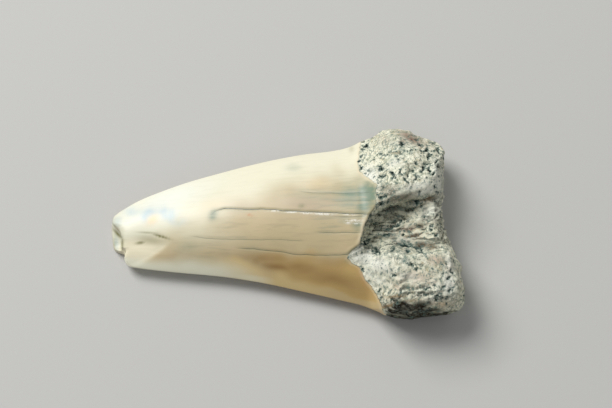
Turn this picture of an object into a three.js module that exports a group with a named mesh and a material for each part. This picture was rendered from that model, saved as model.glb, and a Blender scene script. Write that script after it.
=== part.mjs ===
// Fossil shark tooth: a smooth enamel crown with a broken tip, on a rough, pitted root with two lobes.
// It grew as one piece, so it is one solid. It lies on its flatter, labial face with the lingual face up.
// Millimetres. +X runs from the tip to the root, +Y across the tooth, +Z up.
import * as THREE from "three";
import { mergeVertices } from "three/addons/utils/BufferGeometryUtils.js";
import { ImprovedNoise } from "three/addons/math/ImprovedNoise.js";

// Driving dimensions.
const TOOTH_LENGTH = 56.5; // tip to the end of the root
const TIP_HEIGHT = 3.6; // the crown's top at the broken tip
const NECK_HEIGHT = 9.2; // the crown's top where it meets the root
const ROOT_HEIGHT = 12.4; // the top of the two root lobes
const EDGE_HEIGHT = 2.2; // the cutting edges, above the table
const EDGE_THICKNESS = 0.5; // the cutting edges, worn blunt
const ROOT_RIM_LOW = 2.0; // where the root's rounded side starts, above the table
const ROOT_RIM_HIGH = 8.0; // where the root's rounded side ends
const ROOT_ROUNDING = 1.8; // how far the side draws in, above and below its widest line
const LEDGE_FOOT = 1.1; // where the steep lower side of the root starts
const LEDGE_HEIGHT = 9.6; // the ledge along the top of that side
const LEDGE_ROUNDING = 0.6; // how far that side draws in
const LABIAL_ARCH = 0.4; // how far the middle of the crown's underside stands off the table
const TIP_SETBACK = 1.3; // how far the lingual layer of the tip is broken back, over a thin flake
const FLAKE_SHARE = 0.4; // the flake's thickness, as a share of the tip's
const GROOVE_DEPTH = 4.2; // the hollow between the root lobes, below its steep upper wall
const ROLL_DEPTH = 1.3; // how far the upper lobe rolls down to that wall
const POCKET_DEPTH = 1.1; // the small pocket under the lower lobe's lip
const ENAMEL_STEP = 0.4; // how far the enamel stands above the root at its edge
const LUMP_HEIGHT = 0.55; // the root's broad lumps
const PIT_SPACING = 2.7; // between the root's larger pits
const PIT_DEPTH = 0.6;
const RIDGE_HEIGHT = 0.3; // the long ridges on the floor of the hollow and along the ledge
const RIDGE_SPACING = 2.4;

// How finely the surface is divided: along the crown, along the root, across, and round the side.
const CROWN_STEPS = 21;
const ROOT_STEPS = 30;
const ACROSS_STEPS = 34;
const SIDE_STEPS = 6;

// The outline seen from above. The two long edges are places across the tooth for places along it.
const upperEdge = smoothTable([
  [-27.0, 2.2],
  [-25.6, 3.3],
  [-23.5, 4.4],
  [-20.3, 5.7],
  [-17.1, 6.9],
  [-10.7, 8.8],
  [-4.3, 10.5],
  [2.1, 11.8],
  [8.5, 12.7],
  [11.4, 13.8],
  [13.3, 15.0],
  [14.6, 15.65],
  [15.8, 15.75],
  [17.1, 15.7],
  [19.7, 15.1],
  [21.0, 14.3],
  [23.5, 13.7],
  [24.8, 13.3],
]);
const lowerEdge = smoothTable([
  [-25.3, -6.9],
  [-23.5, -7.2],
  [-17.1, -7.9],
  [-10.7, -8.5],
  [-4.3, -9.5],
  [2.1, -10.9],
  [8.5, -12.4],
  [12.0, -13.3],
  [14.6, -14.5],
  [15.9, -15.4],
  [17.4, -15.8],
  [21.0, -15.8],
  [24.0, -15.5],
  [27.2, -14.9],
]);

// The two ends are places along the tooth for shares of the way from the lower edge to the upper one.
const tipEnd = smoothTable([
  [0, -25.5],
  [0.06, -26.1],
  [0.16, -26.5],
  [0.25, -26.6],
  [0.31, -27.9],
  [0.38, -28.3],
  [0.5, -28.5],
  [0.66, -28.6],
  [0.83, -28.5],
  [0.92, -28.2],
  [1, -27.3],
]);
const rootEnd = smoothTable([
  [0, 27.2],
  [0.04, 28.0],
  [0.09, 28.1],
  [0.15, 28.0],
  [0.19, 27.3],
  [0.24, 27.6],
  [0.3, 27.3],
  [0.37, 26.4],
  [0.43, 25.6],
  [0.48, 25.2],
  [0.57, 25.1],
  [0.66, 25.1],
  [0.8, 25.3],
  [0.9, 25.5],
  [0.96, 25.3],
  [1, 24.6],
]);

// The enamel's edge, as places along the tooth for places across it. The lingual edge is broken and hooks far
// into the root, and the labial edge is a shallow arch.
const lingualEdge = smoothTable([
  [-14.8, 15.6],
  [-12.7, 14.6],
  [-10.7, 13.1],
  [-8.9, 11.6],
  [-7.6, 10.2],
  [-6.3, 10.0],
  [-4.8, 11.5],
  [-2.0, 12.3],
  [0.2, 13.2],
  [1.0, 14.0],
  [4.1, 14.2],
  [4.9, 14.5],
  [6.1, 12.8],
  [7.9, 11.3],
  [9.4, 11.5],
  [13.0, 11.7],
]);
const labialEdge = (y) => 11 - 0.1 * y + 0.016 * y * y;

const { clamp, lerp, smoothstep } = THREE.MathUtils;
const noise = new ImprovedNoise();
const NECK = 0.69; // where the crown ends, as a share of the length

// A smooth curve through pairs of place and value, held level past its ends.
function smoothTable(pairs) {
  const places = pairs.map(([place]) => place);
  const values = pairs.map(([, value]) => value);
  const curve = new THREE.CubicInterpolant(places, values, 1);
  return (place) => curve.evaluate(clamp(place, places[0], places.at(-1)))[0];
}

// A rise from 0 to 1 and back round a place, with soft shoulders.
function bump(value, middle, halfWidth, power) {
  return Math.exp(-(Math.abs((value - middle) / halfWidth) ** power));
}

// How far the section has changed from the crown's lens to the root's block. The change is shorter on the lower
// side, where the thin edge ends against the root's steep side. Side runs from -1 there to 1 on the upper side.
function rootShare(x, side) {
  const share = (side + 1) / 2;
  return smoothstep(x, lerp(12.8, 10, share), lerp(17, 18, share));
}

// How far the crown has grown from its tip to its neck.
function crownGrowth(x) {
  return clamp((x + TOOTH_LENGTH / 2) / (11 + TOOTH_LENGTH / 2), 0, 1) ** 0.8;
}

// How far a place lies past the enamel's edge, on to the root. Rise runs from 0 on the labial face to 1 on the
// lingual one.
function pastEnamel(x, y, rise) {
  const edge = (across) => lerp(labialEdge(across), lingualEdge(across), rise);
  const slope = (edge(y + 0.2) - edge(y - 0.2)) / 0.4;
  return (x - edge(y)) / Math.hypot(1, slope);
}

// How far a place lies above the steep upper wall of the hollow between the root lobes. The wall runs from the
// enamel's edge to the root's end and leans across the tooth.
function aboveWall(x, y) {
  return y - lerp(0.1, 3.4, (x - 13) / 12);
}

// 1 in the hollow and 0 outside it. Its lower wall is a slope, and its floor rises towards the root's end.
function grooveShare(x, y) {
  const underWall = 1 - smoothstep(aboveWall(x, y), -1.0, 0.7);
  const overLobe = smoothstep(y, -6.8, -3.4);
  const fromEnamel = smoothstep(pastEnamel(x, y, 1), -0.3, 1.6);
  return underWall * overLobe * fromEnamel * lerp(1, 0.38, smoothstep(x, 15, 25));
}

// How far the root is lowered by the hollow: by its floor, by the upper lobe's roll and by the pocket at its foot.
function hollowDepth(x, y) {
  const roll = (1 - smoothstep(aboveWall(x, y), -0.5, 2.8)) * smoothstep(y, -7.4, -3.6) * smoothstep(x, 13.5, 17);
  const pocket = bump(x, 19.8, 2.6, 2) * bump(y, -5.3, 1.0, 2);
  return GROOVE_DEPTH * grooveShare(x, y) + ROLL_DEPTH * roll + POCKET_DEPTH * pocket;
}

// The height of the upper face, with side from -1 at the lower edge to 1 at the upper one.
function lingualHeight(x, y, side) {
  const rim = EDGE_HEIGHT + EDGE_THICKNESS / 2;
  const lens = Math.max(0, 1 - Math.abs(side) ** 2.1) ** 0.95;
  const crown = lerp(rim, lerp(TIP_HEIGHT, NECK_HEIGHT, crownGrowth(x)), lens);
  const spall = 0.35 * bump(x, -23, 4.5, 2) * bump(y, -2.6, 2.8, 2);
  const dome = Math.max(0, 1 - Math.abs(side) ** 4.2) ** 0.8;
  const fall = 0.4 * smoothstep(x, 17, 28) ** 2;
  const shoulder = lerp(LEDGE_HEIGHT, ROOT_RIM_HIGH, (side + 1) / 2);
  const root = shoulder + (ROOT_HEIGHT - shoulder) * (dome - fall);
  return lerp(crown - spall, root, rootShare(x, side)) - hollowDepth(x, y);
}

// The height of the lower face: a shallow belly under the crown and two low swellings under the root.
function labialHeight(x, y, side) {
  const arch = LABIAL_ARCH * bump(x, -1, 14, 2) - 0.12;
  const crown = lerp(arch, EDGE_HEIGHT - EDGE_THICKNESS / 2, Math.abs(side) ** 2.2);
  const notch = 0.8 * bump(y, -1, 4, 2) + 1.1 * smoothstep(x, 21.5, 27.5);
  const foot = lerp(LEDGE_FOOT, ROOT_RIM_LOW, (side + 1) / 2);
  const root = lerp(notch - 0.85, foot, Math.abs(side) ** 3.2);
  return lerp(crown, root, rootShare(x, side));
}

// Closer steps along the root, where the surface is rough, than along the crown.
function stationAlong(along) {
  const crownSteps = CROWN_STEPS / (CROWN_STEPS + ROOT_STEPS);
  if (along < crownSteps) return (along / crownSteps) * NECK;
  return lerp(NECK, 1, (along - crownSteps) / (1 - crownSteps));
}

// Moves a corner of a divided box, each of whose coordinates runs from -1 to 1, on to the tooth's smooth form.
function formPoint(box) {
  const station = stationAlong((box.x + 1) / 2);
  const share = (box.y + 1) / 2;
  const drawIn = Math.abs(box.z) ** 2.2;
  const brokenBack = bump(share, 0.5, 0.22, 4) * (1 - station) ** 8;
  const start = tipEnd(share) + smoothstep(box.z, -0.1, 0.4) * (0.2 + TIP_SETBACK * brokenBack);
  const end = rootEnd(share) - ROOT_ROUNDING * drawIn;
  const x = lerp(start, end, station);
  const low = lowerEdge(x);
  const high = upperEdge(x);
  const lowInset = drawIn * lerp(0.1, LEDGE_ROUNDING, rootShare(x, -1));
  const highInset = drawIn * lerp(0.1, ROOT_ROUNDING, rootShare(x, 1));
  const y = lerp(low + lowInset, high - highInset, share);
  const rise = (box.z + 1) / 2;
  const flakeRise = rise < 0.9 ? Math.min(rise, 0.5) * 2 * FLAKE_SHARE : 1;
  const z = lerp(
    labialHeight(x, y, box.y),
    lingualHeight(x, y, box.y),
    lerp(rise, flakeRise, bump(share, 0.5, 0.22, 4) * (1 - station) ** 30),
  );
  return new THREE.Vector3(x, y, z);
}

// A repeatable number from 0 to 1 for a cell of space.
function cellNumber(i, j, k, salt) {
  const wave = Math.sin(i * 127.1 + j * 311.7 + k * 74.7 + salt * 53.3) * 43758.5453;
  return wave - Math.floor(wave);
}

// How deep the pits are at a point, from 0 to 1: one pit, of an uneven shape, is scattered in each cell of space.
function pitAt(point) {
  const cell = point.clone().divideScalar(PIT_SPACING).floor();
  const uneven = 1 + 0.45 * noise.noise(point.x / 1.4, point.y / 1.4, point.z / 1.4 + 11);
  let deepest = 0;
  for (let i = cell.x - 1; i <= cell.x + 1; i++) {
    for (let j = cell.y - 1; j <= cell.y + 1; j++) {
      for (let k = cell.z - 1; k <= cell.z + 1; k++) {
        const centre = new THREE.Vector3(
          i + cellNumber(i, j, k, 1),
          j + cellNumber(i, j, k, 2),
          k + cellNumber(i, j, k, 3),
        ).multiplyScalar(PIT_SPACING);
        const radius = PIT_SPACING * (0.34 + 0.16 * cellNumber(i, j, k, 4));
        deepest = Math.max(deepest, 1 - ((uneven * centre.distanceTo(point)) / radius) ** 2);
      }
    }
  }
  return deepest;
}

// How far the rough surface stands out from the smooth form.
function relief(point, rise) {
  const { x, y, z } = point;
  const onRoot = smoothstep(pastEnamel(x, y, rise), -0.6, 0.8);
  const lumps = noise.noise(x / 4.2, y / 4.2, z / 4.2) + 0.3 * noise.noise(x / 2.4, y / 2.4, z / 2.4 + 7);
  const floor = rise > 0.9 ? grooveShare(x, y) : 0;
  const ledge = rise > 0.9 ? 1 - smoothstep(y, -12.5, -7.5) : 0;
  const lean = lerp(0.27, 0.05, ledge) * x + 0.6 * noise.noise(x / 5, y / 5, 3);
  const ridges = Math.sin(((y - lean) / RIDGE_SPACING) * 2 * Math.PI) * Math.max(floor * floor, ledge);
  const rough = LUMP_HEIGHT * lumps + RIDGE_HEIGHT * ridges - PIT_DEPTH * pitAt(point) * (1 - floor);
  return onRoot * (rough - ENAMEL_STEP);
}

function toothGeometry() {
  const box = new THREE.BoxGeometry(2, 2, 2, CROWN_STEPS + ROOT_STEPS, ACROSS_STEPS, SIDE_STEPS);
  box.deleteAttribute("normal");
  box.deleteAttribute("uv");
  const skin = mergeVertices(box, 1e-4);
  const position = skin.attributes.position;
  const point = new THREE.Vector3();
  const outward = new THREE.Vector3();
  const rises = [];
  for (let i = 0; i < position.count; i++) {
    point.fromBufferAttribute(position, i);
    rises.push((point.z + 1) / 2);
    position.setXYZ(i, ...formPoint(point).toArray());
  }
  skin.computeVertexNormals();
  for (let i = 0; i < position.count; i++) {
    point.fromBufferAttribute(position, i);
    outward.fromBufferAttribute(skin.attributes.normal, i);
    point.addScaledVector(outward, relief(point, rises[i]));
    position.setXYZ(i, point.x, point.y, Math.max(point.z, 0)); // worn flat where it rests
  }
  skin.deleteAttribute("normal");
  skin.computeBoundingBox();
  const middle = skin.boundingBox.getCenter(new THREE.Vector3());
  skin.translate(-middle.x, -middle.y, -skin.boundingBox.min.z);
  return skin;
}

const fossil = new THREE.MeshStandardMaterial({ color: "#d9cba6", roughness: 0.45, metalness: 0 });
const tooth = new THREE.Mesh(toothGeometry(), fossil);
tooth.name = "tooth";

const fossilTooth = new THREE.Group();
fossilTooth.add(tooth);

export default fossilTooth;
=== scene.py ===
"""A fossil shark tooth lying on its flatter face, for a close product picture."""

import math

import bmesh
import bpy
import numpy as np
from mathutils import Matrix, Vector, noise


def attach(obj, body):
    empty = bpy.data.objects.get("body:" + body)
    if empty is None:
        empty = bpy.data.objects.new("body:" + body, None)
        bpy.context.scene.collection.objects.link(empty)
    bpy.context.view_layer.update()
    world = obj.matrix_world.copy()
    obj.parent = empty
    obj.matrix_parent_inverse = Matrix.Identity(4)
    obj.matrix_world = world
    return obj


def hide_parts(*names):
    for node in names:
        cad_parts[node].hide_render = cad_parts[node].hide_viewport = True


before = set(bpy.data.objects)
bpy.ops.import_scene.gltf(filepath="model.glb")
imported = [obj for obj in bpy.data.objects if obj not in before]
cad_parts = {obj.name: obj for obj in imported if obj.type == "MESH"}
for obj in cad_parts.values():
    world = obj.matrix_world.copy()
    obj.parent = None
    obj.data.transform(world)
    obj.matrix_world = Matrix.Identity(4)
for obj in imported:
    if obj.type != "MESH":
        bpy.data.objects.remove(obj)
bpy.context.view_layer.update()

# The camera looks down on the lingual face, tilted a little towards the tooth's lower edge. It comes first,
# because the marks on that face are placed by where the photograph shows them.
MM = 0.001
PHOTO_WIDTH = 612
PHOTO_HEIGHT = 408
MM_PER_PIXEL = 0.16
ELEVATION = math.radians(75)
LENS = 100
SENSOR = 36
AIM = Vector((3.12, 3.0, 4.8))
EYE_DISTANCE = PHOTO_WIDTH * MM_PER_PIXEL * LENS / SENSOR
towards_eye = Vector((0, -math.cos(ELEVATION), math.sin(ELEVATION)))
picture_up = Vector((0, math.sin(ELEVATION), math.cos(ELEVATION)))
eye = bpy.data.cameras.new("camera")
eye.lens = LENS
eye.sensor_width = SENSOR
camera = bpy.data.objects.new("camera", eye)
camera.location = (AIM + EYE_DISTANCE * towards_eye) * MM
camera.rotation_euler = (math.pi / 2 - ELEVATION, 0, 0)
bpy.context.scene.collection.objects.link(camera)
bpy.context.scene.camera = camera

# The tooth's surface: enamel over the crown and old bone over the root, on one solid that grew as one piece.
# Each face of the solid is divided and rounded, and the fine relief that wear and burial left is pressed in.
MERGE_DISTANCE = 0.002
ROUNDING_LEVELS = 2

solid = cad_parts["tooth"]
form = bmesh.new()
form.from_mesh(solid.data)
bmesh.ops.transform(form, matrix=Matrix.Scale(1 / MM, 4), verts=form.verts)
bmesh.ops.remove_doubles(form, verts=form.verts, dist=MERGE_DISTANCE)
bmesh.ops.join_triangles(
    form, faces=form.faces, angle_face_threshold=math.pi, angle_shape_threshold=math.pi
)
tooth = bpy.data.objects.new("tooth_surface", bpy.data.meshes.new("tooth_surface"))
form.to_mesh(tooth.data)
form.free()
bpy.context.scene.collection.objects.link(tooth)
rounding = tooth.modifiers.new("Rounding", "SUBSURF")
rounding.levels = rounding.render_levels = ROUNDING_LEVELS
rounded = tooth.evaluated_get(bpy.context.evaluated_depsgraph_get())
skin = bpy.data.meshes.new_from_object(rounded)
tooth.modifiers.clear()
tooth.data = skin

place = np.empty(len(skin.vertices) * 3)
skin.vertices.foreach_get("co", place)
place = place.reshape(-1, 3)
outward = np.empty(len(skin.vertices) * 3)
skin.vertex_normals.foreach_get("vector", outward)
outward = outward.reshape(-1, 3)
x, y = place.T[:2]

# Where each point of the surface shows in the photograph.
from_aim = place - np.array(AIM)
nearness = EYE_DISTANCE / (EYE_DISTANCE - from_aim @ np.array(towards_eye))
column = PHOTO_WIDTH / 2 + from_aim[:, 0] * nearness / MM_PER_PIXEL
row = PHOTO_HEIGHT / 2 - from_aim @ np.array(picture_up) * nearness / MM_PER_PIXEL


def soft_step(value, start, end):
    """0 up to start and 1 from end, with an even curve between them. Start may be the larger one."""
    share = np.clip((value - start) / (end - start), 0, 1)
    return share * share * (3 - 2 * share)


# The marks of the upper face fade out where the surface turns under, by how far it faces up.
UPPER_FACE_ENDS = -0.5
UPPER_FACE_WHOLE = 0.1
on_upper_face = soft_step(outward[:, 2], UPPER_FACE_ENDS, UPPER_FACE_WHOLE)


def spots(*ovals, frayed=0.0):
    """The strongest of some soft ovals on the upper face. Each is its strength, its column and row in the
    photograph, how far it reaches along and across, in pixels, and perhaps its turn in degrees, clockwise.
    They are frayed by up to so many pixels."""
    strongest = np.zeros(len(x))
    for strength, middle_column, middle_row, half_along, half_across, *turn in ovals:
        angle = math.radians(turn[0] if turn else 0)
        right = column + frayed * fray_right - middle_column
        down = row + frayed * fray_down - middle_row
        along = right * math.cos(angle) + down * math.sin(angle)
        across = down * math.cos(angle) - right * math.sin(angle)
        oval = np.exp(-((along / half_along) ** 2) - (across / half_across) ** 2)
        strongest = np.maximum(strongest, strength * oval)
    return strongest * on_upper_face


NOISE_GAIN = 1.6


def grain(size, salt=0.0, along=1.0, turn=0.0):
    """Smooth noise from about -1 to 1. Size is in millimetres, another salt gives another pattern, and along
    and turn draw it out in one direction."""
    turned = place @ np.array(Matrix.Rotation(math.radians(turn), 3, "Z"))
    points = turned / size / (along, 1, 1) + salt
    return NOISE_GAIN * np.array([noise.noise(Vector(point)) for point in points])


FRAY_SIZE = 0.55
fray_right = grain(FRAY_SIZE, salt=61)
fray_down = grain(FRAY_SIZE, salt=62)

# The enamel's edge, as rows and columns of the photograph. On the lingual face it is broken and hooked, with
# a tongue of bone reaching into it. On the labial face it is a shallow arch, in millimetres along the tooth.
ENAMEL_EDGE = [
    (138, 361.5),
    (143, 360.5),
    (150, 359.5),
    (158, 358.6),
    (163, 357.5),
    (167, 358.2),
    (171, 360.0),
    (175, 363.5),
    (179, 369.0),
    (182, 374.0),
    (185, 377.0),
    (190, 376.0),
    (205, 375.6),
    (210, 373.0),
    (214, 369.3),
    (219, 366.5),
    (227, 364.0),
    (236, 362.2),
    (245, 359.6),
    (250, 353.4),
    (254, 348.5),
    (258, 347.8),
    (262, 350.5),
    (266, 357.5),
    (269, 360.6),
    (276, 363.2),
    (284, 368.6),
    (290, 373.9),
    (298, 378.4),
    (305, 381.2),
    (314, 384.6),
]
SLOPE_REACH = 2
LABIAL_EDGE_X = 11.1
LABIAL_EDGE_SLANT = -0.1
LABIAL_EDGE_ARCH = 0.016
EDGE_WANDER = 0.1
EDGE_FRAYING = 0.06
edge_rows, edge_columns = np.array(ENAMEL_EDGE).T
edge_here = np.interp(row, edge_rows, edge_columns)
edge_below = np.interp(row + SLOPE_REACH, edge_rows, edge_columns)
edge_above = np.interp(row - SLOPE_REACH, edge_rows, edge_columns)
slope = (edge_below - edge_above) / (2 * SLOPE_REACH)
past_lingual_edge = (column - edge_here) * MM_PER_PIXEL / np.hypot(1, slope)
past_labial_edge = x - (LABIAL_EDGE_X + LABIAL_EDGE_SLANT * y + LABIAL_EDGE_ARCH * y * y)
past_edge = on_upper_face * past_lingual_edge + (1 - on_upper_face) * past_labial_edge
past_edge += EDGE_WANDER * grain(0.9) + EDGE_FRAYING * grain(0.4, salt=5)
on_root = soft_step(past_edge, -0.05, 0.3)


def by_column(table):
    """What a table of photograph columns and values gives at each point of the surface."""
    columns, values = np.array(table).T
    return np.interp(column, columns, values)


# The hollow between the root's lobes, from the foot of the upper lobe's steep wall down to the lower lobe,
# and the ledge over the lower lobe's broken side. Each line is columns and rows of the photograph, and a pair
# is where something starts and where it is whole, as columns or rows.
WALL_FOOT = [(362, 222), (368, 215), (383, 210), (400, 206), (420, 200), (436, 194), (446, 192)]
LEDGE = [(377, 309), (390, 306.5), (401, 302), (420, 302), (437, 308.5), (450, 310), (460, 313)]
LOWER_LOBE_TOP = [(350, 251), (372, 255), (400, 251), (425, 250), (445, 246), (460, 244)]
WALL_FOOT_WANDER = 1.8
HOLLOW_BELOW_WALL = (-1.5, 2)
HOLLOW_ABOVE_LOBE = (3, -4)
HOLLOW_DEEPENS = (408, 370)
below_wall = row - by_column(WALL_FOOT) + WALL_FOOT_WANDER * grain(2.2, salt=24)
below_ledge = row - by_column(LEDGE)
below_lobe_top = row - by_column(LOWER_LOBE_TOP)
on_upper_root = on_root * on_upper_face
in_hollow = soft_step(below_wall, *HOLLOW_BELOW_WALL) * soft_step(below_lobe_top, *HOLLOW_ABOVE_LOBE)
in_hollow *= on_upper_root
hollow_foot = in_hollow * soft_step(column, *HOLLOW_DEEPENS)

# The cracks in the enamel, from the lowest to the highest. Each has how dark it is and its line, as columns
# and rows of the photograph. The side alternates, so that the way to the nearest crack changes evenly between
# two of them.
CRACKS = [
    (0.6, [(236, 248.2), (255, 249), (279, 251.8), (299, 254.8), (325, 255.4), (348, 254.3), (354, 250.5)]),
    (0.35, [(188, 236), (208, 238.4), (240, 239.6), (269, 239.5), (303, 240.7)]),
    (0.55, [(314, 232.2), (335, 232.6), (358, 232.4), (361, 232.0)]),
    (0.45, [(334, 217.0), (352, 216.9), (367, 215.9)]),
    (
        0.9,
        [
            (211, 215),
            (215, 211),
            (224, 208.4),
            (264, 209.2),
            (289, 210.8),
            (329, 212.6),
            (352, 213.7),
            (370, 214),
        ],
    ),
    (0.4, [(330, 201.2), (350, 200.6), (372, 201)]),
    (0.45, [(298, 191.2), (312, 192.6), (330, 192.9), (346, 193.2), (362, 192.4), (370, 192)]),
]
CRACK_WIDTH = 0.8
CRACK_DEPTH = 0.12
CRACK_WANDER = 0.4
CRACK_JITTER = 0.15
CRACK_STARTS = (-4, 14)
CRACK_ENDS = (3, -6)
FAR_ASIDE = 30.0
wander = CRACK_WANDER * grain(1.6, salt=3) + CRACK_JITTER * grain(0.5, salt=9)
crack_aside = np.full(len(x), FAR_ASIDE)
crack_strength = np.zeros(len(x))
side = 1.0
for strength, line in CRACKS:
    columns, rows = np.array(line).T
    aside = (row - np.interp(column, columns, rows) + wander) * side
    fade = soft_step(column - columns[0], *CRACK_STARTS) * soft_step(column - columns[-1], *CRACK_ENDS)
    nearer = np.abs(aside) < np.abs(crack_aside)
    crack_aside = np.where(nearer, aside, crack_aside)
    crack_strength = np.where(nearer, strength * fade, crack_strength)
    side = -side
crack_strength *= on_upper_face * (1 - on_root)

# The pits that stand out on the root, where the bone's pores have opened. Each is an oval, as the photograph
# shows it.
PIT_FRAYING = 1.4
upper_lobe_pits = spots(
    (1, 366, 145, 3.2, 1.8, 55),
    (0.9, 362, 149.5, 1.8, 1.4),
    (1, 358.8, 160, 1.2, 3.4, 12),
    (0.9, 361.2, 166.8, 1.8, 1.2, 30),
    (0.7, 380, 153.5, 2.4, 1.5),
    (0.9, 387.5, 154.3, 2.6, 1.5, -35),
    (0.8, 398.8, 158, 1.3, 2.2, -15),
    (0.9, 402.5, 142.5, 3, 1.6, -40),
    (1, 420.5, 144, 2.6, 1.6, 30),
    (1, 427, 149.4, 2.2, 1.8, 40),
    (0.9, 429, 155.5, 1.5, 3.2, 10),
    (1, 439, 150.5, 5.2, 1.3, 52),
    (0.9, 445, 157.5, 1, 3.2, -12),
    (1, 436.3, 162.3, 1.4, 2, 20),
    (0.9, 416, 163.5, 2.6, 1.4, 25),
    (0.8, 428, 164.2, 4.2, 0.9, 5),
    (0.9, 439.4, 166.4, 1.8, 1.3),
    (1, 380.5, 168.4, 1.6, 3, -10),
    (0.8, 382.8, 176, 3.4, 2, -20),
    (1, 391.7, 172.7, 3, 1.1, 5),
    (0.9, 394, 175.6, 1.4, 2.2, 25),
    (1, 400.2, 172.3, 1.7, 1.4),
    (1, 411.6, 170, 1.9, 1.9),
    (0.9, 407.5, 175, 1.3, 2.2, 30),
    (1, 423.6, 169.2, 3.2, 1.4, -50),
    (1, 416.2, 177.4, 4.2, 1.8, -58),
    (1, 406.8, 180.3, 3.8, 1.5, 48),
    (1, 429.5, 171, 1.6, 2.1),
    (0.9, 380.5, 197.5, 2.6, 1.6, 20),
    (0.9, 384.5, 197, 1.5, 1.8),
    (1, 381, 204.5, 2.4, 1.4, -20),
    (0.8, 378, 208.3, 1.6, 1.2),
    (0.8, 387.5, 201.5, 1.5, 1.9),
    (0.8, 420, 192.6, 2.2, 1),
    (0.8, 438, 191.5, 1.8, 1.4),
    (0.7, 435.6, 186.5, 1.2, 2.6, 10),
    frayed=PIT_FRAYING,
)
hollow_pits = spots(
    (0.9, 417.5, 203.8, 5, 1.4, -18),
    (0.8, 386, 234.6, 6, 1.4, -5),
    (0.9, 393, 226.6, 9, 1.0, -20),
    (0.8, 405, 221.8, 6, 0.9, -22),
    (0.8, 403, 230, 6, 0.9, 4),
    (0.7, 424, 216.6, 5, 0.8, -8),
    (1, 405.5, 244.6, 5.5, 2.6, 10),
    (0.9, 416, 247.6, 4, 1.4, 10),
    (1, 421, 251.4, 4.4, 1.6, -4),
    (0.9, 408.8, 251.2, 2.4, 1.3),
    (0.9, 376, 250, 4.2, 3.2, 45),
    (0.9, 366, 242.4, 4.5, 2.8, -35),
    (0.8, 393, 248.4, 2, 2.2, 30),
    (0.8, 430.6, 228, 2.2, 2.6),
    (0.7, 428, 219, 2.4, 1.4, 35),
    frayed=PIT_FRAYING,
)
lower_lobe_pits = spots(
    (0.8, 362.5, 253.6, 1.8, 1),
    (0.8, 363.4, 270.2, 1.2, 2),
    (0.7, 369.4, 283, 2, 1.2, 30),
    (0.8, 378, 291.4, 1.2, 3.4, 12),
    (1, 393.6, 275.4, 1.7, 1.5),
    (0.9, 401, 291.8, 1.7, 1.5),
    (0.9, 423, 266.6, 2.4, 1.2, -20),
    (0.9, 416, 270.6, 1.7, 1.2, 20),
    (0.8, 412.5, 268, 1.5, 1.1),
    (1, 427.5, 288.5, 4.6, 1.0),
    (0.9, 430.7, 293.4, 1.9, 1.3),
    (0.8, 444, 287.4, 1.8, 1.4),
    (0.9, 449.5, 291.2, 2.4, 1.8, 40),
    (0.8, 439, 296.4, 4.4, 1.1, 8),
    (0.7, 443, 299.8, 4.6, 1.3, -8),
    (0.8, 455.4, 260.2, 1.2, 2.4, -20),
    (0.8, 452, 272, 1.4, 2.6, -10),
    (0.8, 447, 264, 1.4, 1.2),
    frayed=PIT_FRAYING,
)
chosen_pits = np.maximum(np.maximum(upper_lobe_pits, hollow_pits), lower_lobe_pits) * on_root

# Smaller pits fill the ground between them: more of them where the bone is most open, fewer in the hollow,
# and fewest where the bone is worn smooth.
OPENNESS = 0.38
HOLLOW_CLOSED = 0.25
GAP_WIDTH = 0.4
openness = OPENNESS - HOLLOW_CLOSED * in_hollow
openness += spots(
    (0.3, 412, 152, 24, 14, 12),
    (0.3, 426, 152, 14, 11),
    (0.25, 386, 170, 12, 9),
    (0.2, 366, 147, 7, 6),
    (0.35, 374, 226, 14, 20),
    (0.4, 382, 204, 9, 7),
    (0.35, 436, 228, 10, 24),
    (0.3, 370, 276, 9, 12, 30),
    (0.25, 420, 264, 22, 6),
    (0.25, 450, 278, 8, 18),
)
openness -= spots(
    (0.48, 396, 274, 26, 13, 14),
    (0.2, 430, 262, 24, 12),
    (0.3, 389, 164, 9, 5, -10),
    (0.35, 361, 257, 11, 6, 15),
)
openness -= spots(
    (0.5, 406, 193, 26, 7, -10),
    (0.3, 388, 138, 16, 9),
    (0.3, 437, 260, 7, 5),
    (0.3, 414, 278, 16, 6),
)
small_pits = grain(0.7, salt=31, along=1.7, turn=40) + 0.6 * grain(0.36, salt=32, along=1.4, turn=-30)
small_pits = soft_step(small_pits, 1.0 - openness, 1.9 - openness) * on_root
gaps = 1 - np.abs(grain(0.8, salt=33, along=1.3, turn=40)) / GAP_WIDTH + 0.45 * grain(0.45, salt=34)
gaps = soft_step(gaps, 1.25 - openness, 1.95 - openness) * on_root
small_pits = np.maximum(small_pits, 0.75 * gaps)
pits = np.maximum(chosen_pits, 0.9 * small_pits)


def hump(value, middle, reach):
    """1 at the middle, falling evenly on both sides to almost nothing at twice the reach."""
    return np.exp(-(((value - middle) / reach) ** 2))


# The root's relief, in millimetres: swellings and lumps, the long lines in the hollow, along the ledge and on
# the lower lobe, the groove under the upper lobe, and the pits.
PIT_DEPTH = 0.42
SWELLING_HEIGHT = 0.11
LUMP_HEIGHT = 0.09
HOLLOW_LINE_HEIGHT = 0.3
LEDGE_LINE_HEIGHT = 0.26
LOBE_LINE_HEIGHT = 0.16
GROOVE_DEPTH = 0.45
GROOVE_REACH = 2.2
GROOVE_STARTS = (380, 392)
GROOVE_ENDS = (434, 406)
HOLLOW_TURNS = (224, 236)
upper_streaks = grain(0.6, salt=12, along=7, turn=20) + 0.7 * grain(0.34, salt=14, along=7, turn=20)
lower_streaks = grain(0.6, salt=18, along=7, turn=3) + 0.7 * grain(0.32, salt=19, along=7, turn=3)
low_in_hollow = soft_step(row + 3 * grain(3, salt=23), *HOLLOW_TURNS)
striations = upper_streaks + (lower_streaks - upper_streaks) * low_in_hollow
lobe_side = spots((1, 402, 194, 22, 7, -10), (0.8, 388, 186, 10, 5))
ledge = spots((1, 398, 298, 26, 7, -9), (0.9, 425, 293, 22, 8, 6), (0.4, 446, 298, 10, 8))
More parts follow.
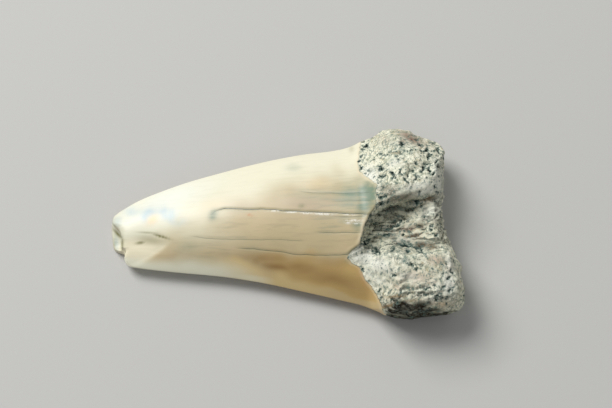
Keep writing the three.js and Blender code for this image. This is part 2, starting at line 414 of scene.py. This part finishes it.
ledge_lines = grain(0.6, salt=16, along=7, turn=8) + 0.5 * grain(0.32, salt=17, along=6, turn=8)
lower_lobe_face = spots((1, 402, 279, 32, 14, 10))
swelling = SWELLING_HEIGHT * grain(1.4, salt=7, along=1.5) + LUMP_HEIGHT * grain(0.6, salt=8)
smooth_side = spots((1, 406, 193, 26, 7, -10), (0.8, 437, 260, 7, 5), (0.6, 414, 278, 16, 6))
groove = hump(below_wall, 0.5, GROOVE_REACH) * soft_step(column, *GROOVE_STARTS) * on_upper_root
groove *= soft_step(column, *GROOVE_ENDS)
root_relief = swelling * (1 - 0.6 * smooth_side) - PIT_DEPTH * pits
root_relief += LOBE_LINE_HEIGHT * upper_streaks * lower_lobe_face
root_relief += HOLLOW_LINE_HEIGHT * striations * np.maximum(in_hollow, 0.25 * lobe_side)
root_relief += LEDGE_LINE_HEIGHT * ledge_lines * ledge - GROOVE_DEPTH * groove

# The enamel's relief, in millimetres: its cracks, faint lines of growth, the chipped face at the tip, and the
# worn lip at its edge, which stands over the bone beside it.
LIP_HEIGHT = 0.12
BONE_DROP = 0.15
LIP_REACH = 0.3
LIP_STARTS = (208, 220)
LIP_LOWERS = (246, 255)
TIP_FACE_DEPTH = 0.1
GROWTH_LINE_HEIGHT = 0.004
TIP_FACE_FOOT = [(115, 272), (138, 264), (150, 258), (160, 251), (174, 240)]
TIP_FACE_EDGE = (-3.5, 3.5)
TIP_FACE_STARTS = (234, 246)
TIP_FACE_ENDS = (176, 160)
crack_cut = hump(crack_aside, 0, CRACK_WIDTH) * crack_strength
lip_share = 0.15 + 0.85 * soft_step(row, *LIP_STARTS) * (1 - 0.8 * soft_step(row, *LIP_LOWERS))
lip = LIP_HEIGHT * hump(past_edge, -0.25, LIP_REACH) - BONE_DROP * hump(past_edge, 0.3, LIP_REACH)
on_tip_face = soft_step(by_column(TIP_FACE_FOOT) - row, *TIP_FACE_EDGE) * on_upper_face
on_tip_face *= soft_step(row, *TIP_FACE_STARTS) * soft_step(column, *TIP_FACE_ENDS)
tip_chips = TIP_FACE_DEPTH * on_tip_face
tip_chips += spots((0.2, 140, 243, 26, 12, 12), (0.14, 158, 236.5, 9, 3.5, 18), (0.1, 140, 241, 6, 3))
growth_lines = GROWTH_LINE_HEIGHT * grain(0.8, salt=13, along=12)
enamel_relief = growth_lines - tip_chips - CRACK_DEPTH * crack_cut

relief = on_root * root_relief + (1 - on_root) * enamel_relief + lip_share * lip
place += outward * relief[:, None]
place[:, 2] = np.maximum(place[:, 2], 0)
skin.vertices.foreach_set("co", (place * MM).ravel())
skin.polygons.foreach_set("use_smooth", [True] * len(skin.polygons))

# How burial stained it, and where shade and light are painted on it, kept on the surface for its material.
# Each mark is 0 where there is none and 1 where it is strongest, but for the way past the enamel's edge, in
# millimetres, and aside from a crack, in pixels.
# Down the crown is 0 at its upper edge and 1 at its lower one, and the tables say how far down some stains
# start or end, for columns of the photograph.
CROWN_TOP = [(112, 225), (118, 213), (130, 205), (160, 192), (200, 178), (280, 159), (330, 151), (360, 143)]
CROWN_FOOT = [(112, 258), (130, 267), (160, 271), (200, 274), (240, 279), (280, 286), (330, 297), (384, 314)]
PALE_LIMIT = [
    (120, 0.75),
    (150, 0.62),
    (180, 0.48),
    (220, 0.34),
    (260, 0.26),
    (300, 0.2),
    (330, 0.22),
    (360, 0.16),
]
PALE_SPREAD = [(200, 0.24), (300, 0.13)]
GOLDEN_TOP = [(235, 0.79), (270, 0.87), (340, 0.88)]
RIM_TOP = [(120, 0.8), (220, 0.77), (300, 0.88), (340, 0.95)]
HONEY_STARTS = (225, 300)
GOLDEN_STARTS = (185, 250)
GOLDEN_FADES = (300, 335)
RIM_DULLS = (205, 280)
RIM_GLOWS = (288, 250)
UPPER_LIP_PALES = (188, 180)
LOWER_LIP_PALES = (213, 222)
LOWER_LIP_DULLS = (236, 247)
HOLLOW_LIGHTENS = (232, 244)
top_row = by_column(CROWN_TOP)
down_crown = (row - top_row) / (by_column(CROWN_FOOT) - top_row)
pale_limit = by_column(PALE_LIMIT)
pale_spread = by_column(PALE_SPREAD)
golden_top = by_column(GOLDEN_TOP)
blotch = grain(5, salt=20) + 0.5 * grain(2.2, salt=21)
marks = {
    "past_edge": past_edge,
    "lip": np.maximum(soft_step(row, *LOWER_LIP_PALES), 0.6 * soft_step(row, *UPPER_LIP_PALES))
    * soft_step(past_edge, -0.6, -0.1)
    * (1 - 0.7 * soft_step(row, *LOWER_LIP_DULLS)),
    "crack_aside": crack_aside,
    "crack_strength": crack_strength,
    "pits": pits,
    "hollow": in_hollow,
    # Less pale where the crown's surface turns steep: painted shade on its flanks, toning down the lamp
    # there.
    "pale": (0.4 + 0.6 * soft_step(outward[:, 2], 0.1, 0.5))
    * (1 - soft_step(down_crown + 0.05 * blotch, pale_limit - pale_spread, pale_limit + pale_spread))
    + spots((0.35, 208, 235, 36, 15)),
    "tan": spots(
        (0.75, 306, 204, 28, 11, 3),
        (0.6, 326, 201, 20, 8),
        (0.35, 304, 215, 30, 7),
        (0.3, 240, 207, 20, 7),
        (0.2, 320, 216, 30, 8),
    ),
    # Painted highlight: near white on the crown's upper left, where the lamp falls on it most.
    "painted_highlight": spots((0.7, 168, 199, 42, 13, -20), (0.45, 132, 212, 16, 9, -35)),
    "honey": soft_step(column, *HONEY_STARTS) * soft_step(down_crown + 0.06 * blotch, 0.66, 0.84),
    "golden": soft_step(column, *GOLDEN_STARTS)
    * (1 - 0.45 * soft_step(column, *GOLDEN_FADES))
    * soft_step(down_crown + 0.03 * blotch, golden_top, golden_top + 0.09)
    + spots((0.45, 351, 268, 9, 8)),
    # Partly pale enamel and partly painted highlight: a light band along the crown's lower edge, and a narrow
    # bright line at the very edge towards the tip.
    "rim": np.maximum(
        (0.9 - 0.75 * soft_step(column, *RIM_DULLS))
        * soft_step(down_crown + 0.02 * blotch, by_column(RIM_TOP), 0.97),
        0.65 * soft_step(down_crown, 0.91, 0.97) * soft_step(column, *RIM_GLOWS),
    ),
    "cream": 0.85 * on_tip_face
    + spots((0.9, 132, 254, 16, 9, -14), (0.25, 122, 246, 3, 14), (0.25, 182, 250, 18, 9)),
    "brown": (0.85 + 0.2 * blotch + 0.15 * grain(0.9, salt=53, along=2.5, turn=10))
    * spots(
        (0.55, 264, 258, 26, 6, 3),
        (0.6, 256, 260, 7, 6, 20),
        (0.95, 276, 267, 16, 5, 6),
        (0.5, 361, 299, 12, 6, 20),
        (0.7, 300, 268, 20, 6, 8),
        (0.62, 332, 280, 27, 9, 14),
        (0.45, 343, 291, 18, 5, 14),
        (0.2, 350, 296, 16, 7, 20),
        (0.15, 230, 258, 26, 7, 2),
        (0.3, 335, 262, 22, 6),
        (0.15, 188, 258, 14, 7),
        (0.22, 172, 257, 14, 6, -30),
    ),
    "lined": 0.05 + spots((0.45, 338, 212, 38, 26), (0.28, 268, 230, 56, 13), (0.2, 205, 250, 30, 10)),
    "blue": spots(
        (1.4, 367, 194, 14, 13),
        (1.2, 364, 206, 9, 9),
        (1, 350, 196, 16, 12),
        (0.3, 320, 197, 28, 7, 4),
        (0.8, 358, 225, 7, 6, -6),
        (0.5, 345, 221, 8, 4),
        (0.15, 335, 226, 24, 12),
        (1.1, 213, 214.5, 4, 6, 20),
        (0.2, 176, 222, 9, 6, 10),
        (0.35, 293, 168, 8, 4),
        (0.5, 116, 222, 5, 5),
        (0.3, 121, 240, 6, 10),
        (0.75, 115.5, 243, 3.5, 9),
        (0.35, 188, 247, 11, 6, -10),
    ),
    "sky": (0.85 + 0.5 * grain(1.2, salt=52))
    * spots(
        (0.9, 149, 215, 11, 7, -25),
        (1.1, 166, 214, 12, 7, 20),
        (0.5, 176, 221, 9, 5),
        (0.5, 132, 212, 10, 6),
        (0.5, 118, 221, 5, 5),
        (0.3, 116.5, 243, 4, 9),
    ),
    # Partly olive stain and partly painted shadow: dark lines where the broken tip steps down and under the
    # enamel's overhanging edge by the tongue of bone.
    "olive_and_painted_shadow": spots(
        (1.1, 161, 236.4, 9, 1.2, 18),
        (0.6, 147, 232.6, 10, 1.1, 3),
        (0.9, 140, 242.6, 4.6, 1.8, -8),
        (0.45, 150, 240, 16, 5, 10),
        (0.8, 301.4, 206, 3, 2.2),
        (1.3, 353, 249.4, 8, 1.6, -38),
        (0.4, 348, 261, 4, 2.4),
        (0.3, 351.5, 149, 3, 4),
        (1, 117.5, 234, 6.5, 1.4, 48),
        (0.8, 121.5, 244, 1.2, 8),
    ),
    "rust": spots((0.9, 249.6, 215, 2.6, 1, 25), (0.4, 362.5, 276, 2, 10, -25)),
    "peach": spots((0.9, 152.5, 219.5, 7, 4.5, -35), (0.25, 214, 205, 14, 5, -8), (0.2, 318, 183, 16, 5, 6)),
    "chips": spots(
        (0.8, 275, 210.8, 5, 0.7),
        (0.9, 292, 212.0, 6, 0.7),
        (1, 306, 212.8, 5, 0.9, 3),
        (1, 323, 213.9, 9, 0.9, 2),
        (0.8, 350, 214.7, 6, 0.7),
        (1, 354, 220.4, 8, 0.9),
        (0.8, 348, 223, 3, 0.8),
        (0.8, 357, 223.4, 4, 0.7),
    ),
    # Partly the bone's whitish wear and partly painted light: whiter on the tongue of bone, at the lobes'
    # right edges and under the upper lobe, where the relief turns from the lamp.
    "white_and_painted_light": spots(
        (1.5, 362, 256, 12, 8, 20),
        (1.1, 378, 264, 14, 8, 16),
        (0.7, 450, 264, 4, 8, -10),
        (0.7, 395, 163, 9, 5, -20),
        (1, 370, 176, 9, 9, 30),
        (0.5, 374, 184, 8, 4, 14),
        (0.6, 408, 277, 13, 5, 6),
        (1, 449, 285, 6, 12),
        (0.6, 436, 298, 10, 4),
        (0.4, 436, 286, 9, 7),
        (0.7, 418, 186, 18, 5, -14),
        (0.9, 429, 190, 12, 5, -18),
        (0.6, 368, 274, 6, 9, -30),
        (0.9, 438, 181, 6, 16),
        (0.7, 434, 298.6, 6, 1.4, 12),
        (0.6, 405, 239.4, 8, 1.6, 4),
        (0.6, 378, 280, 8, 6, 40),
        (0.7, 430, 211, 10, 7, -18),
    ),
    # Partly grey patches and partly painted shade: greyer on the upper lobe's lower flank, which turns from
    # the lamp, and in the groove.
    "grey_and_painted_shade": np.maximum(
        spots(
            (1.3, 402, 197.5, 20, 5, -11),
            (1.2, 389, 192, 11, 7, 10),
            (0.5, 396, 260, 7, 5),
            (0.5, 384, 140, 12, 7),
        ),
        0.8 * groove,
    ),
    "slate": (0.7 + 0.5 * grain(1.2, salt=51, along=1.6, turn=30))
    * spots(
        (0.35, 386, 273, 15, 10, 30),
        (0.7, 392, 255, 12, 4),
        (0.7, 401, 261, 9, 5, 10),
        (0.6, 424, 245, 13, 5),
        (0.6, 405, 143, 9, 5),
        (0.4, 370, 268, 5, 12, -30),
        (0.4, 432, 256, 14, 5, -8),
        (0.4, 404, 288, 20, 6, 10),
        (0.5, 388, 243, 16, 6),
        (0.5, 446, 276, 5, 14),
        (0.4, 372, 172, 8, 5),
        (0.5, 396, 148, 16, 6, 10),
        (0.5, 432, 170, 7, 14, 20),
    ),
    "smooth": 0.55 * in_hollow
    + spots(
        (0.85, 380, 270, 20, 12, 25),
        (0.75, 406, 280, 30, 11, 8),
        (0.85, 437, 260, 9, 7),
        (0.6, 372, 172, 10, 6),
        (0.6, 389, 164, 9, 5, -10),
        (1, 406, 196, 26, 6, -10),
        (0.7, 386, 188, 12, 5, 10),
        (0.5, 384, 140, 14, 7),
        (0.5, 418, 238, 20, 5),
    ),
    "pink": spots(
        (1.1, 411, 138, 14, 4.5, 24),
        (0.8, 403, 142, 4, 3),
        (0.5, 410, 228, 22, 4, -14),
        (0.4, 412, 236, 16, 4, -4),
        (0.4, 421, 243.5, 10, 2, 8),
    ),
    "rosy": spots(
        (0.9, 436.5, 260, 8, 5, 10),
        (0.8, 418, 277, 14, 6, 8),
        (0.6, 396, 287, 7, 4, -20),
        (0.5, 404, 279, 8, 4),
        (0.6, 449, 267, 3, 6, 30),
    ),
    "ochre": spots(
        (0.9, 388, 306, 14, 1.8, -12),
        (0.8, 396, 296.5, 12, 1.5, -4),
        (0.6, 412, 300.5, 12, 1.8, -8),
        (0.7, 441, 303, 11, 4, 4),
        (0.6, 430, 199, 8, 2, -22),
        (0.5, 424, 245, 7, 1.4, 10),
        (0.5, 432, 246, 4, 3),
        (0.6, 395, 152.8, 6, 1.2),
    ),
    # Partly stain and partly painted shade: darker in the hollow's foot, along the groove, in a band under
    # the upper lobe's wall and down the root's right end.
    "stain_and_painted_shade": np.clip(
        (0.14 - 0.04 * soft_step(row, *HOLLOW_LIGHTENS))
        * hollow_foot
        * (0.8 + 0.5 * grain(1.3, salt=43, along=3, turn=17))
        + groove * (0.7 + 0.6 * grain(1.0, salt=46, along=2))
        + spots(
            (0.5, 400, 213, 30, 4, -16),
            (0.2, 442.5, 182, 2.2, 16),
            (0.5, 406, 243, 18, 5),
            (0.8, 390, 236, 9, 4),
            (0.35, 390, 191, 10, 6, 10),
            (0.8, 422, 245, 12, 4),
            (0.35, 397, 241, 12, 5),
            (0.4, 406, 252, 8, 3),
        ),
        0,
        1,
    ),
    # Painted shade on the root's lower side, below the ledge, broken by brown grains.
    "painted_shade": (1.05 + 0.35 * grain(1.2, salt=44, along=2.5, turn=5))
    * soft_step(
        below_ledge + 5 * grain(1.8, salt=41, along=2.5, turn=5) + 3 * grain(0.6, salt=42, along=2), -2, 6
    )
    * on_root,
    # Darker along the relief's low lines and lighter along its raised ones, in the hollow, on the upper
    # lobe's side, along the ledge and on the lower lobe.
    "streaks": soft_step(-striations, 0.02, 0.5) * np.maximum(1.15 * in_hollow, 0.75 * lobe_side)
    + 1.4 * soft_step(-ledge_lines, 0.05, 0.5) * ledge
    + 0.6 * soft_step(-upper_streaks, 0.2, 0.8) * lower_lobe_face,
    "bright_streaks": soft_step(striations, 0.08, 0.5) * np.maximum(1.1 * in_hollow, 0.5 * lobe_side)
    + 0.5 * soft_step(ledge_lines, 0.1, 0.6) * ledge
    + 0.4 * soft_step(upper_streaks, 0.2, 0.8) * lower_lobe_face,
}
for name, values in marks.items():
    skin.attributes.new(name, "FLOAT", "POINT").data.foreach_set("value", values.astype(np.float32))
skin.update()

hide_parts("tooth")
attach(tooth, "root")


# Fossil enameloid and bone: ivory enamel stained from honey to greyish green, glossy from its own density,
# and matt porous bone, cream where it is worn and nearly black in its pores, with painted highlight and shade
# mixed into both.
def linear(code):
    """The linear colour, with alpha, of an sRGB hex value."""
    channels = [int(code[i : i + 2], 16) / 255 for i in (1, 3, 5)]
    return [c / 12.92 if c <= 0.04045 else ((c + 0.055) / 1.055) ** 2.4 for c in channels] + [1]


def add(kind, inputs, output=0, **settings):
    """Adds a node to the fossil's material and gives one of its outputs. An input is a value, or the output
    that feeds it."""
    node = tree.nodes.new(kind)
    for name, value in settings.items():
        setattr(node, name, value)
    for name, value in inputs.items():
        if isinstance(value, bpy.types.NodeSocket):
            tree.links.new(value, node.inputs[name])
        else:
            node.inputs[name].default_value = value
    return node.outputs[output]


fossil = bpy.data.materials.new("fossil_enameloid_and_bone")
fossil.use_nodes = True
tree = fossil.node_tree
shader = tree.nodes["Principled BSDF"]
mark = {name: add("ShaderNodeAttribute", {}, "Fac", attribute_name=name) for name in marks}
at = add("ShaderNodeTexCoord", {}, "Object")

# The sizes of its patterns: clouds of stain, lines of growth drawn out along the tooth, and the bone's
# mottling, flecks and finest pores.
CLOUD_SIZE = 5 * MM
LINE_SIZE = 0.5 * MM
LINE_STRETCH = 0.06
MOTTLE_SIZE = 1.3 * MM
FLECK_SIZE = 0.8 * MM
SPECK_SIZE = 0.55 * MM
drawn_out = add("ShaderNodeVectorMath", {0: at, 1: (LINE_STRETCH, 1, 1)}, operation="MULTIPLY")
clouds = add("ShaderNodeTexNoise", {"Vector": at, "Scale": 1 / CLOUD_SIZE, "Detail": 3})
lines = add("ShaderNodeTexNoise", {"Vector": drawn_out, "Scale": 1 / LINE_SIZE, "Detail": 3})
mottle = add("ShaderNodeTexNoise", {"Vector": at, "Scale": 1 / MOTTLE_SIZE, "Detail": 4, "Roughness": 0.6})
specks = add("ShaderNodeTexNoise", {"Vector": at, "Scale": 1 / SPECK_SIZE, "Detail": 3, "Roughness": 0.85})
flecks = add("ShaderNodeTexNoise", {"Vector": at, "Scale": 1 / FLECK_SIZE, "Detail": 3, "Roughness": 0.7})

# The enamel, one stain over another, with a painted highlight on its upper left and along its lower rim, and
# painted shadow along its broken steps.
fine_lines = add("ShaderNodeMapRange", {"Value": lines, "From Min": 0.5, "From Max": 0.66})
line_share = add("ShaderNodeMath", {0: fine_lines, 1: mark["lined"]}, operation="MULTIPLY")
blue_lines = add("ShaderNodeMapRange", {"Value": lines, "From Min": 0.3, "From Max": 0.65, "To Min": 0.6})
blue_share = add("ShaderNodeMath", {0: mark["blue"], 1: blue_lines}, operation="MULTIPLY")
cloud_share = add("ShaderNodeMapRange", {"Value": clouds, "From Min": 0.4, "From Max": 0.62, "To Max": 0.3})
crack_gap = add("ShaderNodeMath", {0: mark["crack_aside"]}, operation="ABSOLUTE")
crack_near = add("ShaderNodeMapRange", {"Value": crack_gap, "From Min": 0.55, "From Max": 0.15})
crack_line = add("ShaderNodeMath", {0: crack_near, 1: mark["crack_strength"]}, operation="MULTIPLY")
crack_round = add(
    "ShaderNodeMapRange", {"Value": crack_gap, "From Min": 3.5, "From Max": 0.0, "To Max": 0.35}
)
crack_stain = add("ShaderNodeMath", {0: crack_round, 1: mark["crack_strength"]}, operation="MULTIPLY")
ragged_chips = add("ShaderNodeMapRange", {"Value": specks, "From Min": 0.44, "From Max": 0.5})
chip_share = add("ShaderNodeMath", {0: mark["chips"], 1: ragged_chips}, operation="MULTIPLY")
enamel = add("ShaderNodeRGB", {})
enamel.default_value = linear("#c7b68d")
for share, stain in [
    (cloud_share, "#dcc49a"),
    (mark["pale"], "#efebd1"),
    (mark["painted_highlight"], "#f5f8ee"),
    # The painted highlight on the crown's upper left.
    (mark["tan"], "#b09a78"),
    (mark["cream"], "#f2e8c9"),
    (line_share, "#98927a"),
    (mark["honey"], "#c5a468"),
    (mark["brown"], "#94703a"),
    (mark["golden"], "#dcbc76"),
    (blue_share, "#7e9079"),
    # Pale enamel and painted highlight along the crown's lower edge.
    (mark["rim"], "#f6f5dc"),
    (mark["sky"], "#c6d6d8"),
    # Olive stain and painted shadow at the enamel's broken steps.
    (mark["olive_and_painted_shadow"], "#7d7a4c"),
    (mark["rust"], "#c98f5e"),
    (mark["peach"], "#f6dcae"),
    (mark["lip"], "#f0e3c2"),
    (crack_stain, "#8f9a82"),
    (chip_share, "#fbf8ee"),
    (crack_line, "#2b3d36"),
]:
    enamel = add("ShaderNodeMixRGB", {"Fac": share, "Color1": enamel, "Color2": linear(stain)})

# The bone, from its worn cream ground to the black of its pits, with painted shade on its lower side, in its
# hollow, groove and under its upper lobe, and painted light where its relief turns from the lamp.
grey_ground = add("ShaderNodeMapRange", {"Value": mottle, "From Min": 0.45, "From Max": 0.62, "To Max": 0.75})
green_ground = add("ShaderNodeMapRange", {"Value": clouds, "From Min": 0.45, "From Max": 0.62, "To Max": 0.3})
warm_flecks = add("ShaderNodeMapRange", {"Value": flecks, "From Min": 0.53, "From Max": 0.66, "To Max": 0.6})
white_grains = add("ShaderNodeMapRange", {"Value": specks, "From Min": 0.48, "From Max": 0.41})
dark_grains = add("ShaderNodeMapRange", {"Value": specks, "From Min": 0.53, "From Max": 0.62, "To Max": 0.75})
bare_grains = add("ShaderNodeMath", {0: 1.0, 1: mark["smooth"]}, operation="SUBTRACT", use_clamp=True)
grain_share = add("ShaderNodeMath", {0: dark_grains, 1: bare_grains}, operation="MULTIPLY")
bare_white = add("ShaderNodeMath", {0: white_grains, 1: bare_grains}, operation="MULTIPLY")
pink_grains = add(
    "ShaderNodeMapRange", {"Value": specks, "From Min": 0.4, "From Max": 0.6, "To Min": 1.0, "To Max": 0.45}
)
pink_share = add("ShaderNodeMath", {0: mark["pink"], 1: pink_grains}, operation="MULTIPLY", use_clamp=True)
rosy_share = add("ShaderNodeMath", {0: mark["rosy"], 1: pink_grains}, operation="MULTIPLY", use_clamp=True)
stain_and_shade_edge = add(
    "ShaderNodeMapRange", {"Value": specks, "From Min": 0.35, "From Max": 0.6, "To Min": 0.75, "To Max": 1.05}
)
dark_share = add("ShaderNodeMath", {0: mark["stain_and_painted_shade"], 1: stain_and_shade_edge}, operation="MULTIPLY", use_clamp=True)
shade_light = add("ShaderNodeMapRange", {"Value": specks, "From Min": 0.52, "From Max": 0.66, "To Max": 0.9})
shade_grains = add("ShaderNodeMath", {0: shade_light, 1: mark["painted_shade"]}, operation="MULTIPLY", use_clamp=True)
shade_dark = add("ShaderNodeMapRange", {"Value": mottle, "From Min": 0.5, "From Max": 0.38})
shade_hearts = add("ShaderNodeMath", {0: shade_dark, 1: mark["painted_shade"]}, operation="MULTIPLY", use_clamp=True)
ragged = add(
    "ShaderNodeMapRange", {"Value": specks, "From Min": 0.3, "From Max": 0.7, "To Min": -0.6, "To Max": 0.6}
)
ragged_pits = add("ShaderNodeMath", {0: mark["pits"], 1: ragged}, operation="ADD")
pit_round = add(
    "ShaderNodeMapRange", {"Value": ragged_pits, "From Min": 0.05, "From Max": 0.4, "To Max": 0.65}
)
pit_edge = add("ShaderNodeMapRange", {"Value": ragged_pits, "From Min": 0.3, "From Max": 0.75})
pit_heart = add("ShaderNodeMapRange", {"Value": ragged_pits, "From Min": 0.6, "From Max": 1.05})
dark_lines = add("ShaderNodeMapRange", {"Value": lines, "From Min": 0.48, "From Max": 0.38, "To Max": 0.8})
hollow_dark = add("ShaderNodeMath", {0: dark_lines, 1: mark["hollow"]}, operation="MULTIPLY")
light_lines = add("ShaderNodeMapRange", {"Value": lines, "From Min": 0.54, "From Max": 0.64, "To Max": 0.8})
hollow_light = add("ShaderNodeMath", {0: light_lines, 1: mark["hollow"]}, operation="MULTIPLY")
bone = add("ShaderNodeRGB", {})
bone.default_value = linear("#efecd3")
for share, stain in [
    (grey_ground, "#b3b79b"),
    (green_ground, "#9dab93"),
    (warm_flecks, "#c2ab78"),
    (mark["slate"], "#93a19b"),
    # Grey patches and painted shade on the upper lobe's lower flank and in the groove.
    (mark["grey_and_painted_shade"], "#a8a08b"),
    (mark["streaks"], "#383a2b"),
    (mark["bright_streaks"], "#efedd3"),
    (hollow_dark, "#313427"),
    (hollow_light, "#eeebd3"),
    (grain_share, "#4f675c"),
    (bare_white, "#f8f7e1"),
    (pink_share, "#997b69"),
    (rosy_share, "#dfc5ac"),
    (mark["ochre"], "#93703f"),
    # Whitish wear and painted light where the bone's relief turns from the lamp.
    (mark["white_and_painted_light"], "#f6f5e6"),
    # Stain and painted shade in the hollow, the groove and under the upper lobe.
    (dark_share, "#2c271d"),
    # Painted shade on the root's lower side, then its brown grains and near-black hearts.
    (mark["painted_shade"], "#2b2214"),
    (shade_grains, "#93804f"),
    (shade_hearts, "#130f08"),
    (pit_round, "#8ba39a"),
    (pit_edge, "#456059"),
    (pit_heart, "#0e1210"),
]:
    bone = add("ShaderNodeMixRGB", {"Fac": share, "Color1": bone, "Color2": linear(stain)})

# Where the enamel ends, and how the two shine.
ENAMEL_ROUGHNESS = 0.42
BONE_ROUGHNESS = 0.85
ENAMEL_MIRROR = 0.5
BONE_MIRROR = 0.15
FOSSIL_IOR = 1.55
edge_ragged = add(
    "ShaderNodeMapRange", {"Value": specks, "From Min": 0.3, "From Max": 0.7, "To Min": -0.1, "To Max": 0.1}
)
edge_at = add("ShaderNodeMath", {0: mark["past_edge"], 1: edge_ragged}, operation="ADD")
root_share = add("ShaderNodeMapRange", {"Value": edge_at, "From Min": -0.04, "From Max": 0.06})
colour = add("ShaderNodeMixRGB", {"Fac": root_share, "Color1": enamel, "Color2": bone})
gloss = add("ShaderNodeMapRange", {"Value": root_share, "To Min": ENAMEL_ROUGHNESS, "To Max": BONE_ROUGHNESS})
mirror = add("ShaderNodeMapRange", {"Value": root_share, "To Min": ENAMEL_MIRROR, "To Max": BONE_MIRROR})
tree.links.new(colour, shader.inputs["Base Color"])
tree.links.new(gloss, shader.inputs["Roughness"])
tree.links.new(mirror, shader.inputs["Specular IOR Level"])
shader.inputs["IOR"].default_value = FOSSIL_IOR

# The finest relief, too small for the mesh: the bone's mottling, specks and pits, and the enamel's lines.
GRAIN_DEPTH = 0.25 * MM
MOTTLE_SHARE = 0.6
SPECK_SHARE = 0.9
PIT_SHARE = -0.8
LINE_SHARE = 0.02
BUMP_STRENGTH = 0.9
pit_height = add("ShaderNodeMath", {0: pit_edge, 1: PIT_SHARE}, operation="MULTIPLY")
speck_height = add("ShaderNodeMath", {0: specks, 1: SPECK_SHARE, 2: pit_height}, operation="MULTIPLY_ADD")
bone_height = add("ShaderNodeMath", {0: mottle, 1: MOTTLE_SHARE, 2: speck_height}, operation="MULTIPLY_ADD")
enamel_height = add("ShaderNodeMath", {0: lines, 1: LINE_SHARE}, operation="MULTIPLY")
height = add("ShaderNodeMix", {"Factor": root_share, "A": enamel_height, "B": bone_height}, "Result")
bump = add("ShaderNodeBump", {"Height": height, "Distance": GRAIN_DEPTH, "Strength": BUMP_STRENGTH})
tree.links.new(bump, shader.inputs["Normal"])
skin.materials.clear()
skin.materials.append(fossil)

# The studio table: one wide, level sheet of pale, matt paper that the tooth lies on, as a stand for the
# picture and no part of the tooth.
TABLE_SIZE = 3.0
table = bpy.data.objects.new("table", bpy.data.meshes.new("table"))
top = bmesh.new()
bmesh.ops.create_grid(top, x_segments=1, y_segments=1, size=TABLE_SIZE / 2)
top.to_mesh(table.data)
top.free()
bpy.context.scene.collection.objects.link(table)
paper = bpy.data.materials.new("matt_paper")
paper.use_nodes = True
paper_shader = paper.node_tree.nodes["Principled BSDF"]
paper_shader.inputs["Base Color"].default_value = linear("#c9c8c4")
paper_shader.inputs["Roughness"].default_value = 0.9
table.data.materials.append(paper)

# Soft light: a broad lamp above the tooth's upper left, like a window, with a pale room round it to lift the
# shadows.
LAMP_PLACE = Vector((-0.34, 0.36, 0.6))
LAMP_WIDTH = 0.4
LAMP_WATTS = 5.3
ROOM_STRENGTH = 0.34
lamp = bpy.data.lights.new("window", "AREA")
lamp.size = LAMP_WIDTH
lamp.energy = LAMP_WATTS
window = bpy.data.objects.new("window", lamp)
window.location = LAMP_PLACE
window.rotation_euler = (-LAMP_PLACE).to_track_quat("-Z", "Y").to_euler()
bpy.context.scene.collection.objects.link(window)
room = bpy.data.worlds.new("room")
room.use_nodes = True
room.node_tree.nodes["Background"].inputs["Color"].default_value = linear("#f2f4f7")
room.node_tree.nodes["Background"].inputs["Strength"].default_value = ROOM_STRENGTH
bpy.context.scene.world = room
bpy.context.scene.view_settings.view_transform = "Standard"
